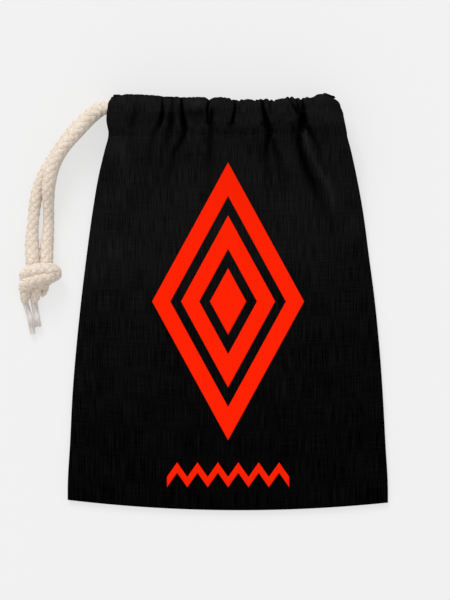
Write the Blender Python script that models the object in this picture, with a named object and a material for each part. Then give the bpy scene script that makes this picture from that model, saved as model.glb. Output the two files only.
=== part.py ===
"""An empty cotton drawstring pouch that lies flat on its back.

Front and back cloth meet at the side and base seams. A gathered casing runs round the mouth, with a thick
braided drawcord through it that leaves at the left side seam. Its two free strands end in one knot with two
short taped tails. Metres, +Z up, +X to the right, +Y from the base seam to the mouth. The origin lies under
the middle of the cloth, on the surface that the pouch rests on.
"""

import math
from collections import namedtuple

import bpy
import numpy as np
from mathutils import Vector

MM = 0.001

# Driving dimensions
CLOTH = 1.0 * MM
GAP = 0.3 * MM
PANEL_GAP = 0.5 * MM
STITCH_Y = 79.7 * MM
BASE_Y = -100.1 * MM
BASE_BOW = 5.0 * MM
BASE_BOW_X = 6.0 * MM
BASE_BOW_HALF = 83.0 * MM
BASE_ROUND = 15.0 * MM
CORD = 6.2 * MM
HIDDEN_CORD = 5.6 * MM
CORD_Y = 92.9 * MM
BACK_CORD_Z = 4.1 * MM
FRONT_CORD_Z = 17.5 * MM
FRONT_TURN = math.radians(50)
BACK_TURN = 0.0
SEAM_TURN = math.radians(90)
TURN_RADIUS = (FRONT_CORD_Z - BACK_CORD_Z) / 2
MIDDLE_Z = (FRONT_CORD_Z + BACK_CORD_Z) / 2
TAIL = 4.4 * MM
LEFT_TIP = 2.6 * MM
RIGHT_TIP = 3.0 * MM

# The outline: where the left and right sides lie at each height
Side = namedtuple("Side", "y left right")
SIDES = [
    Side(y=-100.1, left=-76.7, right=77.0),
    Side(y=-94.3, left=-76.7, right=77.0),
    Side(y=-71.2, left=-75.5, right=75.8),
    Side(y=-48.2, left=-74.4, right=74.6),
    Side(y=-25.2, left=-72.6, right=73.0),
    Side(y=-2.1, left=-70.3, right=70.8),
    Side(y=20.9, left=-67.6, right=67.9),
    Side(y=44.0, left=-64.5, right=64.8),
    Side(y=61.2, left=-61.5, right=61.6),
    Side(y=72.8, left=-58.7, right=59.0),
    Side(y=79.7, left=-57.0, right=57.2),
    Side(y=86.7, left=-58.0, right=56.0),
    Side(y=92.9, left=-57.2, right=54.3),
    Side(y=98.2, left=-56.0, right=51.0),
]

# How the cloth stands below the casing: the crown is the front's height in the middle, the edges are the
# outer faces where the two cloths meet, the flank is the width over which they part, and a roundness of 0.5
# is an ellipse
Stand = namedtuple("Stand", "y crown front_edge back_edge flank roundness")
STANDS = [
    Stand(y=-100.1, crown=8.0, front_edge=2.3, back_edge=0.0, flank=56.0, roundness=0.85),
    Stand(y=-40.0, crown=8.4, front_edge=2.3, back_edge=0.0, flank=55.0, roundness=0.85),
    Stand(y=0.0, crown=8.6, front_edge=2.3, back_edge=0.0, flank=52.0, roundness=0.85),
    Stand(y=25.0, crown=9.2, front_edge=2.4, back_edge=0.0, flank=45.0, roundness=0.80),
    Stand(y=44.0, crown=10.6, front_edge=3.6, back_edge=1.1, flank=34.0, roundness=0.70),
    Stand(y=58.0, crown=12.6, front_edge=6.0, back_edge=4.0, flank=21.0, roundness=0.60),
    Stand(y=70.0, crown=14.9, front_edge=9.2, back_edge=8.0, flank=11.0, roundness=0.52),
    Stand(y=79.7, crown=16.9, front_edge=11.1, back_edge=10.6, flank=7.2, roundness=0.50),
]

# The gathers: where each valley lies at the mouth, at the stitch line and at its foot, and how deep it is
Fold = namedtuple("Fold", "mouth_x stitch_x foot_x foot_y depth")
FOLDS = [
    Fold(mouth_x=-41.6, stitch_x=-45.0, foot_x=-46.5, foot_y=62.0, depth=0.8),
    Fold(mouth_x=-30.6, stitch_x=-34.5, foot_x=-37.4, foot_y=58.0, depth=1.5),
    Fold(mouth_x=-25.8, stitch_x=-27.9, foot_x=-32.0, foot_y=56.0, depth=1.3),
    Fold(mouth_x=-22.1, stitch_x=-20.6, foot_x=-26.0, foot_y=50.0, depth=2.2),
    Fold(mouth_x=-8.8, stitch_x=-8.1, foot_x=-8.6, foot_y=48.0, depth=1.8),
    Fold(mouth_x=3.7, stitch_x=3.1, foot_x=3.1, foot_y=62.0, depth=0.9),
    Fold(mouth_x=16.4, stitch_x=19.5, foot_x=18.5, foot_y=48.0, depth=2.2),
    Fold(mouth_x=32.4, stitch_x=34.0, foot_x=49.5, foot_y=34.0, depth=1.5),
    Fold(mouth_x=37.2, stitch_x=40.3, foot_x=48.8, foot_y=58.0, depth=1.2),
]
FOLD_HALF_WIDTH = 1.9 * MM
DEEPEST_FOLD = 2.2 * MM
FOLD_OVERRUN = 1.3

# The casing's section, in rows up from the stitch line. Every offset is from the cord's axis: up runs towards
# the mouth's edge, outward away from the pouch's inside. The seam column is the shape where front meets back
Section = namedtuple("Section", "up front_out front_in back_out back_in seam puff")
OUTER_ROWS = [
    Section(up=-13.2, front_out=-0.5, front_in=-2.2, back_out=4.1, back_in=2.3, seam=0.8, puff=0.3),
    Section(up=-9.0, front_out=1.6, front_in=-2.6, back_out=4.1, back_in=-0.2, seam=1.9, puff=1.5),
    Section(up=-4.4, front_out=3.2, front_in=-3.6, back_out=4.1, back_in=-2.8, seam=3.2, puff=1.8),
    Section(up=-1.8, front_out=4.1, front_in=-4.1, back_out=4.1, back_in=-4.1, seam=4.1, puff=1.6),
    Section(up=1.8, front_out=4.1, front_in=-4.1, back_out=4.1, back_in=-4.1, seam=4.1, puff=1.5),
    Section(up=3.7, front_out=2.7, front_in=-2.6, back_out=3.6, back_in=-2.6, seam=2.7, puff=0.9),
    Section(up=5.1, front_out=0.4, front_in=-0.4, back_out=1.4, back_in=0.6, seam=0.5, puff=0.2),
]
INNER_ROWS = [
    Section(up=-12.0, front_out=-1.0, front_in=-1.5, back_out=3.1, back_in=2.7, seam=0.3, puff=0.0),
    Section(up=-9.0, front_out=0.6, front_in=-1.6, back_out=3.1, back_in=0.8, seam=0.9, puff=1.4),
    Section(up=-4.2, front_out=2.2, front_in=-2.6, back_out=3.1, back_in=-1.8, seam=2.2, puff=1.7),
    Section(up=-1.6, front_out=3.1, front_in=-3.1, back_out=3.1, back_in=-3.1, seam=3.1, puff=1.5),
    Section(up=1.6, front_out=3.1, front_in=-3.1, back_out=3.1, back_in=-3.1, seam=3.1, puff=1.4),
    Section(up=2.9, front_out=1.7, front_in=-1.7, back_out=2.4, back_in=-1.7, seam=1.7, puff=0.8),
    Section(up=3.7, front_out=0.3, front_in=-0.3, back_out=0.9, back_in=0.2, seam=0.3, puff=0.2),
]
CORD_ROW = OUTER_ROWS[3]
CORD_ZONE = 4.0 * MM

# The mouth's edge stands higher at both ends and lower between them, and dips where a gather crosses it
Rise = namedtuple("Rise", "x height half_width")
MOUTH_RISES = [
    Rise(x=-46.5, height=1.6, half_width=11.0),
    Rise(x=14.0, height=-0.6, half_width=18.0),
    Rise(x=46.0, height=2.4, half_width=4.5),
]
MOUTH_DIP = 0.6
RISE_FROM = 2.9
RISE_SPAN = 2.2

# The free strands lie on the surface, the front one on the back one until they part side by side
Point = namedtuple("Point", "x y z")
FRONT_STRAND = [
    Point(-54.6, 92.9, 14.9),
    Point(-57.1, 93.0, 12.8),
    Point(-60.0, 92.5, 11.3),
    Point(-62.9, 90.9, 10.45),
    Point(-66.2, 88.0, 9.95),
    Point(-69.8, 83.9, 9.75),
    Point(-73.4, 79.7, 9.75),
    Point(-76.9, 75.7, 9.75),
    Point(-79.8, 71.8, 9.7),
    Point(-82.1, 67.9, 9.5),
    Point(-83.8, 63.9, 9.2),
    Point(-85.0, 59.2, 8.6),
    Point(-85.8, 53.6, 7.6),
    Point(-85.8, 46.8, 5.4),
    Point(-85.7, 39.6, 3.4),
    Point(-86.1, 32.4, 3.2),
    Point(-86.7, 25.7, 3.8),
    Point(-86.8, 19.3, 4.8),
]
BACK_STRAND = [
    Point(-57.9, 92.9, 4.1),
    Point(-60.8, 92.7, 3.9),
    Point(-63.6, 91.3, 3.6),
    Point(-67.1, 88.4, 3.3),
    Point(-71.1, 84.8, 3.15),
    Point(-74.8, 80.8, 3.15),
    Point(-78.0, 76.6, 3.15),
    Point(-81.0, 72.4, 3.15),
    Point(-84.0, 67.9, 3.15),
    Point(-86.6, 63.8, 3.15),
    Point(-89.0, 59.3, 3.15),
    Point(-90.8, 53.6, 3.15),
    Point(-92.1, 47.8, 3.15),
    Point(-92.8, 42.3, 3.15),
    Point(-93.3, 36.8, 3.15),
    Point(-93.7, 31.5, 3.2),
    Point(-93.7, 25.7, 3.8),
    Point(-93.4, 19.75, 4.8),
]
STRAND_SPACING = 2.0 * CORD
EXIT_STRAIGHT = 0.5 * CORD
TAIL_LEFT = [Point(-97.0, 3.3, 3.3), Point(-97.2, 1.4, 2.7), Point(-97.0, -0.3, 2.3)]
TAIL_RIGHT = [Point(-91.9, 2.6, 3.3), Point(-92.2, 1.4, 2.9), Point(-92.3, 0.2, 2.5)]
TIP_LEFT = [
    Point(-96.9, -0.7, 1.9),
    Point(-96.1, -3.9, 1.5),
    Point(-94.9, -7.6, 1.4),
    Point(-94.0, -11.6, 1.4),
    Point(-93.2, -15.6, 1.4),
]
TIP_RIGHT = [
    Point(-92.3, -0.4, 2.0),
    Point(-91.9, -4.0, 1.7),
    Point(-91.3, -8.0, 1.6),
    Point(-90.8, -12.1, 1.6),
]

# The knot: a broad wrap round a core
KNOT_CENTRE = Point(-90.6, 11.1, 6.0)
KNOT_CORE = Point(8.4, 6.6, 5.6)
KNOT_WRAP_THICK = 7.6 * MM
KNOT_WRAP_STEP = 3.0 * MM
KNOT_SEGMENTS = 20
KNOT_RINGS = 12
KNOT_WRAP = [
    Point(-95.6, 15.0, 6.2),
    Point(-91.3, 16.0, 7.6),
    Point(-86.0, 14.4, 7.4),
    Point(-83.2, 11.4, 6.4),
    Point(-86.2, 8.4, 6.6),
    Point(-91.3, 6.6, 7.0),
    Point(-96.0, 6.3, 5.6),
    Point(-96.7, 10.5, 5.0),
]

FLANK_STEPS = 4
FRONT_ROWS = 18
BACK_ROWS = 12
ROW_CROWDING = 1.7
PLAIN_STEPS = 8
WIDE_SPAN = 6.0 * MM
HIDDEN_STEPS = 9
BEND_STEPS = 8
CURVE_STEPS = 12
TUBE_SIDES_RESOLUTION = 3
TAIL_SHRINK = 0.85
SHARP_ANGLE = math.radians(50)


def clear_scene():
    for obj in list(bpy.data.objects):
        bpy.data.objects.remove(obj, do_unlink=True)


def smooth(table, column, y):
    """The column's value at y, on a smooth curve through the table's rows."""
    ys = np.array([row.y for row in table])
    values = np.array([getattr(row, column) for row in table])
    slopes = np.gradient(values, ys)
    y = min(max(y / MM, ys[0]), ys[-1])
    i = min(int(np.searchsorted(ys, y, side="right")) - 1, len(ys) - 2)
    span = ys[i + 1] - ys[i]
    s = (y - ys[i]) / span
    rise = values[i] * (1 - s) ** 2 * (1 + 2 * s) + values[i + 1] * s**2 * (3 - 2 * s)
    lean = span * s * (1 - s) * (slopes[i] * (1 - s) - slopes[i + 1] * s)
    return (rise + lean) * MM


def ease(value):
    value = min(max(value, 0.0), 1.0)
    return value * value * (3 - 2 * value)


def base_y(x):
    """The base seam's height, which bows down in the middle."""
    return BASE_Y + BASE_BOW * ((x - BASE_BOW_X) / BASE_BOW_HALF) ** 2


def fold_x(fold, y):
    """Where a valley's line lies at y. Below its foot it keeps its share of the width."""
    foot_y = fold.foot_y * MM
    if y >= STITCH_Y:
        share = min((y - STITCH_Y) / (CORD_Y - STITCH_Y), FOLD_OVERRUN)
        return (fold.stitch_x + (fold.mouth_x - fold.stitch_x) * share) * MM
    if y >= foot_y:
        share = (STITCH_Y - y) / (STITCH_Y - foot_y)
        return (fold.stitch_x + (fold.foot_x - fold.stitch_x) * share) * MM
    return fold.foot_x * MM * smooth(SIDES, "right", y) / smooth(SIDES, "right", foot_y)


def valley(x, y):
    """How deep the gathers press the front cloth at a place."""
    deepest = 0.0
    for fold in FOLDS:
        foot_y = fold.foot_y * MM
        fade = 1.0 if y >= STITCH_Y else ease((y - foot_y) / (STITCH_Y - foot_y))
        reach = math.exp(-(((x - fold_x(fold, y)) / FOLD_HALF_WIDTH) ** 2))
        deepest = max(deepest, fold.depth * MM * reach * fade)
    return deepest


def casing_ends(row, turn, wall):
    """Where a row of the casing ends its flat stretch at the left and the right turn.

    The rows round the cord and above share one place, so that the cord runs straight between them.
    """
    below = row.up * MM < -CORD_ZONE
    y = CORD_Y + row.up * MM if below else CORD_Y
    reach = TURN_RADIUS + (row.seam * MM + wall if below else CORD_ROW.seam * MM)
    return smooth(SIDES, "left", y) + reach * math.sin(turn), smooth(SIDES, "right", y) - reach


def fold_columns(y, left, right, fine):
    """Places across the cloth between two ends, crowded at the valleys."""
    if not fine:
        return [left + (right - left) * i / PLAIN_STEPS for i in range(1, PLAIN_STEPS)]
    lines = [left] + [fold_x(fold, y) for fold in FOLDS] + [right]
    ends = casing_ends(CORD_ROW, FRONT_TURN, 0.0)
    mouth_lines = [ends[0]] + [fold.mouth_x * MM for fold in FOLDS] + [ends[1]]
    places = []
    for i in range(len(lines) - 1):
        wide = mouth_lines[i + 1] - mouth_lines[i] > WIDE_SPAN
        shares = (0.0, 0.22, 0.5, 0.78) if wide else (0.0, 0.5)
        places += [lines[i] + (lines[i + 1] - lines[i]) * share for share in shares]
    return places[1:]


def add_mesh(name, points, faces):
    mesh = bpy.data.meshes.new(name)
    mesh.from_pydata(points, [], faces)
    mesh.validate()
    obj = bpy.data.objects.new(name, mesh)
    bpy.context.collection.objects.link(obj)
    mesh.shade_smooth()
    mesh.set_sharp_from_angle(angle=SHARP_ANGLE)
    return obj


def flank_offsets(width):
    """Distances from a side seam, crowded towards it, over the round flank."""
    angles = [math.pi / 2 * i / FLANK_STEPS for i in range(FLANK_STEPS + 1)]
    return [width * (1 - math.cos(angle)) for angle in angles]


def panel_columns(y, fine):
    left = smooth(SIDES, "left", y)
    right = smooth(SIDES, "right", y)
    offsets = flank_offsets(TURN_RADIUS)
    inner = fold_columns(y, left + offsets[-1], right - offsets[-1], fine)
    return [left + d for d in offsets] + inner + [right - d for d in reversed(offsets)]


def front_height(x, y):
    """The front cloth's outer face."""
    left = smooth(SIDES, "left", y)
    right = smooth(SIDES, "right", y)
    inset = max(min(x - left, right - x), 0.0)
    flank = smooth(STANDS, "flank", y)
    part = max(1 - inset / flank, 0.0)
    spread = max(1 - part * part, 0.0) ** (smooth(STANDS, "roundness", y) / MM)
    edge = smooth(STANDS, "front_edge", y)
    lift = 1 - math.exp(-max(y - base_y(x), 0.0) / BASE_ROUND)
    return edge + (smooth(STANDS, "crown", y) - edge) * spread * lift - valley(x, y) * spread


def back_height(x, y):
    """The back cloth's outer face, which lies on the surface and rises only at the sides near the casing."""
    left = smooth(SIDES, "left", y)
    right = smooth(SIDES, "right", y)
    inset = max(min(x - left, right - x), 0.0)
    part = max(1 - inset / TURN_RADIUS, 0.0)
    return max(smooth(STANDS, "back_edge", y), 0.0) * (1 - math.sqrt(max(1 - part * part, 0.0)))


def panel(name, height, rows, fine, faces_up):
    """A cloth from the stitch line to the base seam, with its outer face given by height."""
    points = []
    top = STITCH_Y - PANEL_GAP
    count = 0
    for i in range(rows + 1):
        share = (i / rows) ** ROW_CROWDING * (1 - i / rows) + (i / rows) * (i / rows)
        guess = top + (BASE_Y - top) * share
        xs = panel_columns(guess, fine)
        count = len(xs)
        for x in xs:
            y = top + (base_y(x) - top) * share
            points.append((x, y, height(x, y)))
    faces = []
    for i in range(rows):
        for j in range(count - 1):
            a = i * count + j
            faces.append((a, a + count, a + count + 1, a + 1))
    if not faces_up:
        faces = [tuple(reversed(face)) for face in faces]
    obj = add_mesh(name, points, faces)
    wall = obj.modifiers.new("cloth", "SOLIDIFY")
    wall.thickness = CLOTH
    wall.offset = -1
    wall.use_even_offset = False
    return obj


def section_offset(row, side, face, turned, pressed, rise):
    """How far a row's point lies up and outward of the cord's axis."""
    own = getattr(row, side + face)
    seam = row.seam if face == "_out" else -row.seam
    out = own + (seam - own) * turned
    up = row.up
    if side == "front" and face == "_out":
        out += row.puff * (1 - turned) * (1 - pressed)
    if row.up > RISE_FROM:
        up += rise * (row.up - RISE_FROM) / RISE_SPAN
    return up * MM, out * MM


def mouth_rise(x, pressed):
    rise = -MOUTH_DIP * pressed
    for end in MOUTH_RISES:
        rise += end.height * math.exp(-(((x / MM - end.x) / end.half_width) ** 2))
    return rise


def casing_ring(rows, side, turn, column, pressed, wall):
    """One closed loop of the casing's section, at one column of its path."""
    z_sign = 1 if side == "front" else -1
    loop = [(row, "_out") for row in rows] + [(row, "_in") for row in reversed(rows)]
    ring = []
    for row, face in loop:
        left, right = casing_ends(row, turn, wall)
        kind, value = column
        if kind == "left":
            x, angle = left, -turn * value
        elif kind == "right":
            x, angle = right, SEAM_TURN * value
        else:
            x, angle = fold_columns(CORD_Y + row.up * MM, left, right, side == "front")[value], 0.0
        turned = abs(angle) / SEAM_TURN
        up, out = section_offset(row, side, face, turned, pressed, mouth_rise(x, pressed))
        radius = TURN_RADIUS + out
        z = MIDDLE_Z + z_sign * radius * math.cos(angle)
        x += radius * math.sin(angle)
        if angle == SEAM_TURN:
            z += z_sign * GAP / 2
        ring.append((x, CORD_Y + up, z))
    return ring


def casing(name, side, turn):
    """A stitched tube of cloth along one side of the mouth, open at its left end and at the right seam."""
    count = len(fold_columns(CORD_Y, -1, 1, side == "front"))
    columns = [("left", 1.0), ("left", 0.5)] if turn else []
    columns += [("left", 0.0)]
    columns += [("middle", i) for i in range(count)]
    columns += [("right", i / FLANK_STEPS) for i in range(FLANK_STEPS + 1)]
    points = []
    for column in columns:
        pressed = 0.0
        if side == "front" and column[0] == "middle":
            x = fold_columns(CORD_Y, *casing_ends(CORD_ROW, turn, 0.0), True)[column[1]]
            pressed = valley(x, CORD_Y) / DEEPEST_FOLD
        points += casing_ring(OUTER_ROWS, side, turn, column, pressed, 0.0)
        points += casing_ring(INNER_ROWS, side, turn, column, pressed, CLOTH)
    ring = 2 * len(OUTER_ROWS)
    faces = []
    for i in range(len(columns) - 1):
        for start, flip in ((0, False), (ring, True)):
            for j in range(ring):
                a = i * 2 * ring + start + j
                b = i * 2 * ring + start + (j + 1) % ring
                face = (a, b, b + 2 * ring, a + 2 * ring)
                faces.append(tuple(reversed(face)) if flip else face)
    last = (len(columns) - 1) * 2 * ring
    for j in range(ring):
        k = (j + 1) % ring
        faces.append((j, ring + j, ring + k, k))
        faces.append((last + j, last + k, last + ring + k, last + ring + j))
    if side == "front":
        faces = [tuple(reversed(face)) for face in faces]
    return add_mesh(name, points, faces)


def curve_through(route, closed=False):
    """Closely spaced places on a smooth curve through the route's points."""
    knots = [Vector(point) * MM for point in route]
    if closed:
        knots = knots[-1:] + knots + knots[:2]
    else:
        knots = [2 * knots[0] - knots[1]] + knots + [2 * knots[-1] - knots[-2]]
    places = []
    for a, b, c, d in zip(knots, knots[1:], knots[2:], knots[3:]):
        for i in range(CURVE_STEPS):
            s = i / CURVE_STEPS
            bend = (2 * a - 5 * b + 4 * c - d) * s**2 + (3 * b - a - 3 * c + d) * s**3
            places.append(0.5 * (2 * b + (c - a) * s + bend))
    return places + [knots[-2]]


def spaced(places, spacing):
    """The same curve in equal steps near to a spacing."""
    steps = [(b - a).length for a, b in zip(places, places[1:])]
    along = np.concatenate([[0.0], np.cumsum(steps)])
    count = max(2, round(along[-1] / spacing))
    wanted = np.linspace(0, along[-1], count + 1)
    axes = [np.interp(wanted, along, [place[axis] for place in places]) for axis in range(3)]
    return [Vector(place) for place in zip(*axes)]


def tube(name, places, thick, shrink=1.0, closed=False):
    """A round cord along the places, which may thin out towards its end."""
    data = bpy.data.curves.new(name, "CURVE")
    data.dimensions = "3D"
    data.bevel_depth = thick / 2
    data.bevel_resolution = TUBE_SIDES_RESOLUTION
    data.use_fill_caps = not closed
    spline = data.splines.new("POLY")
    spline.use_cyclic_u = closed
    spline.points.add(len(places) - 1)
    for i, place in enumerate(places):
        spline.points[i].co = (*place, 1)
        spline.points[i].radius = 1 + (shrink - 1) * i / (len(places) - 1)
        spline.use_smooth = True
    obj = bpy.data.objects.new(name, data)
    bpy.context.collection.objects.link(obj)
    return obj


def short_run(route):
    """The places of a short tube: the route's points and one between each two."""
    return curve_through(route)[:: CURVE_STEPS // 2]


def free_strand(name, route):
    """A free strand, which leaves the casing straight before it bends."""
    curve = curve_through(route)
    places = spaced(curve, STRAND_SPACING)
    straight = (curve[1] - curve[0]).normalized() * EXIT_STRAIGHT
    return tube(name, [places[0], places[0] + straight] + places[1:], CORD)


def hidden_cord():
    """The stretch inside the casing: in at the front, round the right side seam, and out at the back."""
    places = []
    for side, turn in ((1, FRONT_TURN), (-1, BACK_TURN)):
        left, right = casing_ends(CORD_ROW, turn, 0.0)
        stretch = []
        angles = [turn, turn * 2 / 3, turn / 3, 0.0] if turn else [0.0]
        for angle in angles:
            x = left - TURN_RADIUS * math.sin(angle)
            stretch.append(Vector((x, CORD_Y, MIDDLE_Z + side * TURN_RADIUS * math.cos(angle))))
        for i in range(1, HIDDEN_STEPS):
            x = left + (right - left) * i / HIDDEN_STEPS
            stretch.append(Vector((x, CORD_Y, MIDDLE_Z + side * TURN_RADIUS)))
        places.append(stretch)
    bend = []
    for i in range(BEND_STEPS + 1):
        angle = math.pi * i / BEND_STEPS
        z = MIDDLE_Z + TURN_RADIUS * math.cos(angle)
        bend.append(Vector((right + TURN_RADIUS * math.sin(angle), CORD_Y, z)))
    return tube("hidden_cord", places[0] + bend + places[1][::-1], HIDDEN_CORD)


def knot():
    """The broad wrap of cord round a core, as one solid."""
    bpy.ops.mesh.primitive_uv_sphere_add(segments=KNOT_SEGMENTS, ring_count=KNOT_RINGS, radius=1.0)
    core = bpy.context.object
    core.name = "knot"
    core.data.name = "knot"
    for vertex in core.data.vertices:
        vertex.co = Vector([co * size * MM for co, size in zip(vertex.co, KNOT_CORE)])
        vertex.co += Vector(KNOT_CENTRE) * MM
    places = spaced(curve_through(KNOT_WRAP, closed=True), KNOT_WRAP_STEP)
    wrap = tube("knot_wrap", places[:-1], KNOT_WRAP_THICK, closed=True)
    graph = bpy.context.evaluated_depsgraph_get()
    mesh = bpy.data.meshes.new_from_object(wrap.evaluated_get(graph))
    bpy.data.objects.remove(wrap, do_unlink=True)
    cutter = bpy.data.objects.new("knot_wrap", mesh)
    bpy.context.collection.objects.link(cutter)
    cutter.hide_render = True
    cutter.display_type = "WIRE"
    union = core.modifiers.new("wrap", "BOOLEAN")
    union.operation = "UNION"
    union.object = cutter
    core.data.shade_smooth()
    return core


def finish(obj, colour, roughness):
    material = bpy.data.materials.new(obj.name)
    material.use_nodes = True
    shader = material.node_tree.nodes["Principled BSDF"]
    shader.inputs["Base Color"].default_value = (*colour, 1)
    shader.inputs["Roughness"].default_value = roughness
    shader.inputs["Metallic"].default_value = 0
    obj.data.materials.clear()
    obj.data.materials.append(material)


BLACK_COTTON = (0.012, 0.012, 0.013)
NATURAL_COTTON = (0.62, 0.55, 0.44)
CLEAR_TAPE = (0.55, 0.54, 0.52)


def main():
    clear_scene()
    cloth = [
        panel("front_panel", front_height, FRONT_ROWS, True, True),
        panel("back_panel", back_height, BACK_ROWS, False, False),
        casing("front_casing", "front", FRONT_TURN),
        casing("back_casing", "back", BACK_TURN),
    ]
    cord = [
        hidden_cord(),
        free_strand("free_cord_front", FRONT_STRAND),
        free_strand("free_cord_back", BACK_STRAND),
        knot(),
        tube("tail_left", short_run(TAIL_LEFT), TAIL, shrink=TAIL_SHRINK),
        tube("tail_right", short_run(TAIL_RIGHT), TAIL, shrink=TAIL_SHRINK),
    ]
    tips = [
        tube("tip_left", short_run(TIP_LEFT), LEFT_TIP),
        tube("tip_right", short_run(TIP_RIGHT), RIGHT_TIP),
    ]
    for obj in cloth:
        finish(obj, BLACK_COTTON, 0.95)
    for obj in cord:
        finish(obj, NATURAL_COTTON, 0.9)
    for obj in tips:
        finish(obj, CLEAR_TAPE, 0.35)


main()
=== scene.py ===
"""The looks of an empty cotton drawstring pouch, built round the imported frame.

Black woven cloth with a gathered casing, a braided natural drawcord with its knot and taped tips, stitching
and a red print of plain geometric figures. Tables and sizes are in millimetres, and meshes are made in metres.
"""

import math
from collections import namedtuple

import bpy
import numpy as np
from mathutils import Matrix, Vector
from mathutils.bvhtree import BVHTree


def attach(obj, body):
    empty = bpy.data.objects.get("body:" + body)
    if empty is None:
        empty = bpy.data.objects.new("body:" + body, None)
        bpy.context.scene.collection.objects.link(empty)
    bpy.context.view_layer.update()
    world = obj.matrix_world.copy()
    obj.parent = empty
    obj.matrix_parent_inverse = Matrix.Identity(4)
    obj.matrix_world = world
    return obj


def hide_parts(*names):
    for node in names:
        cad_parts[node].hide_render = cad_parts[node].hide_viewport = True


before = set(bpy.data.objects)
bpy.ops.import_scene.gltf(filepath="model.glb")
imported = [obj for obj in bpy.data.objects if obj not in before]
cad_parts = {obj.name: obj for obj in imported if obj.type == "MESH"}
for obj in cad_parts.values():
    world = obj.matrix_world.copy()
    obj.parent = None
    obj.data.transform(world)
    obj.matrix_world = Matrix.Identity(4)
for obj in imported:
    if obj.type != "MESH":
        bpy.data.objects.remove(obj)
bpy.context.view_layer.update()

MM = 0.001
QUARTER = math.pi / 2

# The camera looks straight down. Its frame is the photograph's, at 0.48 mm for each of its 450 x 600 pixels
FRAME_HEIGHT = 0.288
CAMERA_LENS = 400.0
SENSOR = 36.0
LOOK_AT = (-0.0012, 0.0008)

# Driving dimensions, which are the CAD model's
STITCH_Y = 79.7
BASE_Y = -100.1
BASE_BOW = 5.0
BASE_BOW_X = 6.0
BASE_BOW_HALF = 83.0
BASE_ROUND = 15.0
CORD = 6.2
HIDDEN_CORD = 5.2
HIDDEN_DIP = 0.5
HIDDEN_STEPS = 16
HIDDEN_ENTRY = (0.95, 0.6, 0.3)
HIDDEN_TURN_STEPS = 6
HIDDEN_EXIT = 0.6
CORD_Y = 92.9
BACK_CORD_Z = 4.1
FRONT_CORD_Z = 17.5
FRONT_TURN = math.radians(50)
TURN_RADIUS = (FRONT_CORD_Z - BACK_CORD_Z) / 2
MIDDLE_Z = (FRONT_CORD_Z + BACK_CORD_Z) / 2
CLOTH = 0.7
CLOTH_WIDTH = 156.0

# The outline: where the left and right sides lie at each height
Side = namedtuple("Side", "y left right")
SIDES = [
    Side(-100.1, -76.7, 77.0),
    Side(-94.3, -76.7, 77.0),
    Side(-71.2, -75.5, 75.8),
    Side(-48.2, -74.4, 74.6),
    Side(-25.2, -72.6, 73.0),
    Side(-2.1, -70.3, 70.8),
    Side(20.9, -67.6, 67.9),
    Side(44.0, -64.5, 64.8),
    Side(61.2, -61.5, 61.6),
    Side(72.8, -58.7, 59.0),
    Side(79.7, -57.0, 57.2),
    Side(86.7, -58.0, 56.0),
    Side(92.9, -57.2, 54.3),
    Side(98.2, -56.0, 51.0),
]

# How the cloth stands below the casing: the crown is the front's height in the middle, the edges are the
# outer faces where the two cloths meet, and the flank is the width over which they part
Stand = namedtuple("Stand", "y crown front_edge back_edge flank roundness")
STANDS = [
    Stand(-100.1, 8, 2.3, 0, 56, 0.85),
    Stand(-40, 8.4, 2.3, 0, 55, 0.85),
    Stand(0, 8.6, 2.3, 0, 52, 0.85),
    Stand(25, 9.2, 2.4, 0, 45, 0.80),
    Stand(44, 10.6, 3.6, 1.1, 34, 0.70),
    Stand(58, 12.6, 6, 4, 21, 0.60),
    Stand(70, 14.9, 9.2, 8, 11, 0.52),
    Stand(79.7, 16.9, 11.1, 10.6, 7.2, 0.50),
]
EDGE_CURL = 1.1
SEAM_SLIT = 0.05

# The casing's section, in rows up from the stitch line: up runs from the cord's axis towards the mouth's
# edge, and the other offsets run outward. The puff is how far the cloth stands off between the gathers, and the
# press how deep the deepest gather goes. The path goes up the outer face and down the inner one
Section = namedtuple("Section", "up front_out front_in back_out back_in seam puff press")
SECTIONS = [
    Section(-13.2, -0.5, -2.2, 4.1, 2.3, 0.8, 0, 3.2),
    Section(-9, 1.3, -2.6, 4.1, -0.2, 1.9, 1.2, 4.6),
    Section(-4.4, 3.1, -3.6, 4.1, -2.8, 3.2, 1.8, 4),
    Section(-1.8, 4.1, -4.1, 4.1, -4.1, 4.1, 1.7, 1.5),
    Section(1.8, 4.1, -4.1, 4.1, -4.1, 3.6, 1.5, 1.2),
    Section(3.9, 2.6, -2.6, 3.6, -2.6, 1.8, 0.9, 0.9),
    Section(5.1, 0.5, -0.5, 1.4, 0.4, -0.8, 0.1, 0.2),
]
LAST = len(SECTIONS) - 1
FAR_ROW = 2 * LAST + 1
SIDE_FOLD_ROWS = 4
OUTER_END = LAST + 0.6
OUTER_FADE = 0.8
CORD_SEAM = 4.1
STITCH_BLEND = 4.0

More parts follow.
